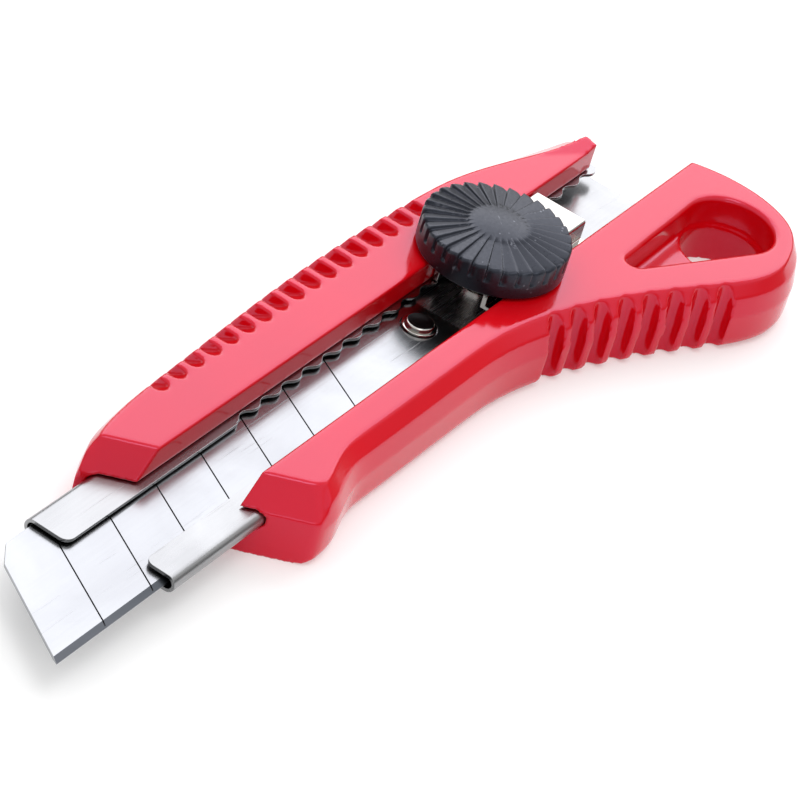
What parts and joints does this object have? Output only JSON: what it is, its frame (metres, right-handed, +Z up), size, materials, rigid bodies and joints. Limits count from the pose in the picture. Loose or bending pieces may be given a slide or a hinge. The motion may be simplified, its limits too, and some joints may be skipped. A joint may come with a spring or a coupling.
{
  "type": "snap-off knife",
  "caption": "Wheel-lock snap-off knife: moulded handle with thumb notches and hang hole, steel blade channel, sliding blade and ribbed lock wheel.",
  "frame": {"origin": "middle of the whole knife's box at the resting face, lying on its back with the slider as stored", "axes": "+X forward to the blade's tip, +Y to the cutting edge and the hang hole's side, +Z up through the lock wheel"},
  "size_m": [0.1628, 0.0494, 0.0171],
  "materials": {
    "handle_red": "glossy moulded plastic",
    "channel_steel": "bright rolled stainless sheet",
    "blade_steel": "fine ground carbon steel",
    "plate_steel": "pressed steel",
    "bright_plating": "bright plated steel",
    "wheel_black": "satin moulded plastic with worn rib edges",
    "insert_brass": "turned brass"
  },
  "bodies": {
    "handle": {"handle_body": "handle_red", "blade_channel": "channel_steel"},
    "slider": {"slider_plate": "plate_steel", "blade": "blade_steel", "blade_pin": "bright_plating", "lock_stud": "bright_plating", "saddle": "bright_plating"},
    "washer": {"friction_washer": "plate_steel"},
    "wheel": {"lock_wheel": "wheel_black", "wheel_insert": "insert_brass"}
  },
  "joints": [
    {"name": "slider_slide", "type": "slide", "parent": "handle", "child": "slider", "axis": [1, 0, 0], "range_m": [-0.024, 0.06]},
    {"name": "washer_lift", "type": "slide", "parent": "slider", "child": "washer", "axis": [0, 0, 1], "range_m": [0, 0.00081]},
    {"name": "wheel_turn", "type": "hinge", "parent": "washer", "child": "wheel", "pos_m": [-0.0306, -0.00759, 0.016], "axis": [0, 0, 1], "range_deg": [0, 360]}
  ],
  "couplings": [
    {"joint": "washer_lift", "follows": "wheel_turn", "m_per_rad": 0.00012732}
  ]
}
